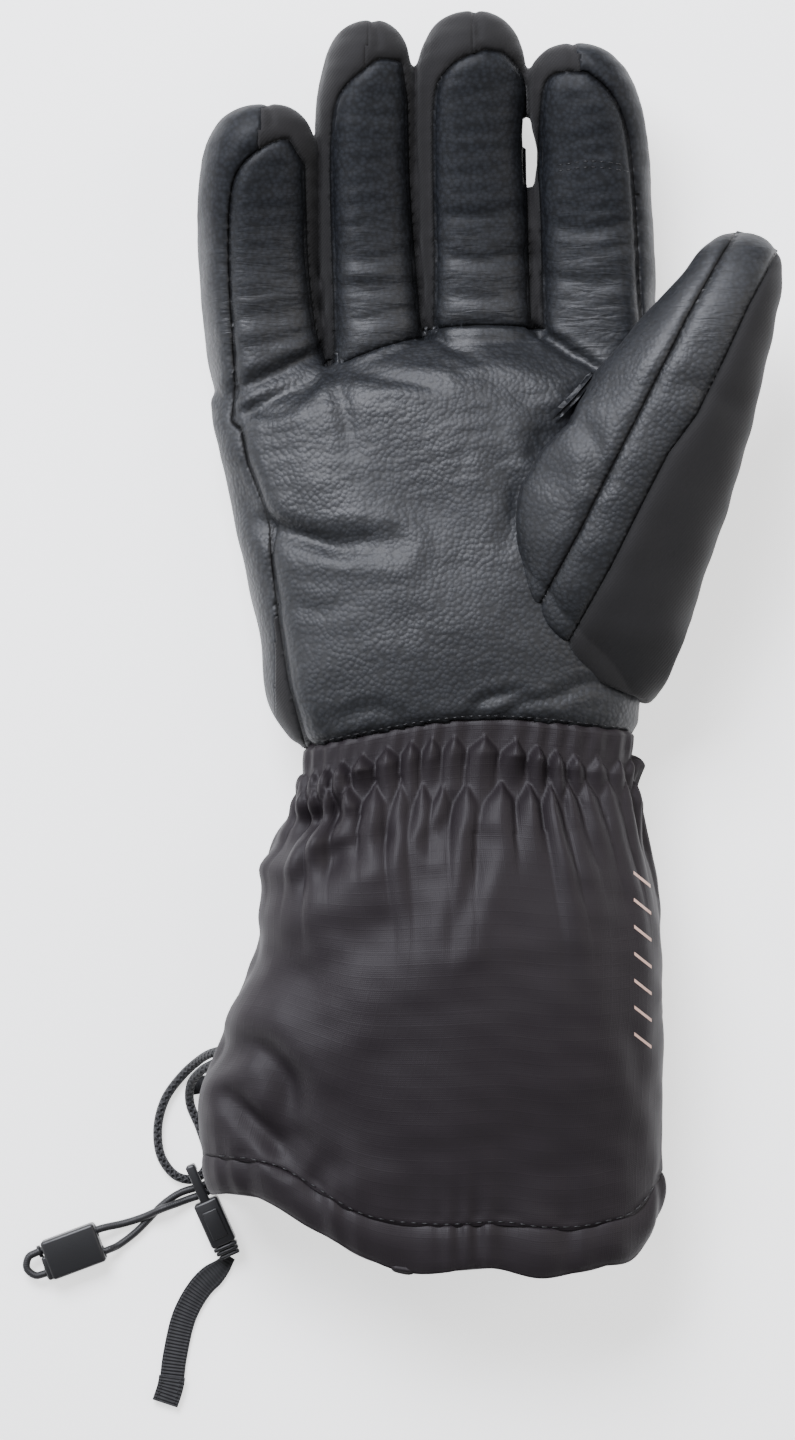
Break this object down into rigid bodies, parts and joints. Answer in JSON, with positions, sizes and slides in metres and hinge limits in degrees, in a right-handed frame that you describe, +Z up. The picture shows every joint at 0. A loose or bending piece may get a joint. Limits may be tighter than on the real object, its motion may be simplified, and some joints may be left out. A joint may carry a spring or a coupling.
{
  "type": "heated glove",
  "caption": "Right-hand heated winter glove with a long gathered gauntlet cuff, leather palm, hem drawcord with cord lock, and a wrist leash loop with hook clip and webbing.",
  "frame": {"origin": "on the surface the glove lies on, under the middle of the wrist seam", "axes": "+X towards the thumb side, +Y along the glove from cuff to fingertips, +Z up out of the palm"},
  "size_m": [0.2117, 0.3927, 0.0603],
  "materials": {
    "leather": "satin",
    "softshell": "matte",
    "nylon": "matte",
    "webbing": "matte",
    "cord": "matte",
    "plastic": "satin"
  },
  "bodies": {
    "root": {"palm_panel": "leather", "ring_front": "leather", "middle_front": "leather", "back_panel": "softshell", "little_back": "softshell", "ring_back": "softshell", "middle_back": "softshell", "index_back": "softshell", "outer_strip": "leather", "fourchette_little_ring": "softshell", "fourchette_ring_middle": "softshell", "fourchette_middle_index": "softshell", "index_strip": "leather", "thumb_strip": "leather", "thumb_front": "leather", "thumb_back": "nylon", "gauntlet": "nylon", "hem_casing": "nylon", "leash_loop": "cord", "leash_tab": "webbing", "hook_clip": "plastic", "webbing_leash": "webbing", "elastic_drawcord": "cord", "cord_lock": "plastic"}
  },
  "joints": []
}
